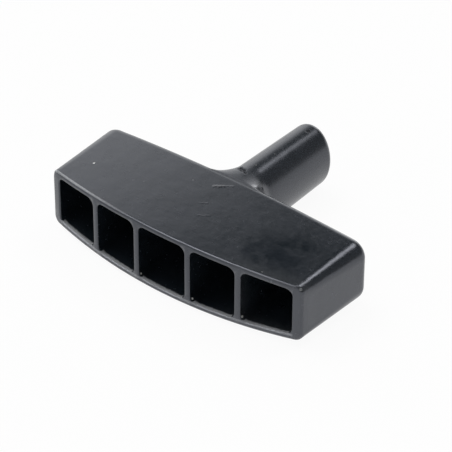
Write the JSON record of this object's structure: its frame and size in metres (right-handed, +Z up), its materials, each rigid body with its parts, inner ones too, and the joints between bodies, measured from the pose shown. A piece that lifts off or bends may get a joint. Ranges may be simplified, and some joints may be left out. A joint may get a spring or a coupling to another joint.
{
  "type": "starter handle",
  "caption": "Moulded T-shaped starter handle with a bowed, pocketed bar and an oval stem bored for the pull rope.",
  "frame": {"origin": "middle of the flat end of the stem, where the rope bore opens", "axes": "+X along the bar, +Y out of the stem along the rope, +Z up, towards one of the bar's two crowned faces"},
  "size_m": [0.0938, 0.0705, 0.0228],
  "materials": {
    "moulded_plastic": "black moulded plastic with a soft gloss, lightly scuffed"
  },
  "bodies": {
    "root": {"handle_moulding": "moulded_plastic"}
  },
  "joints": []
}
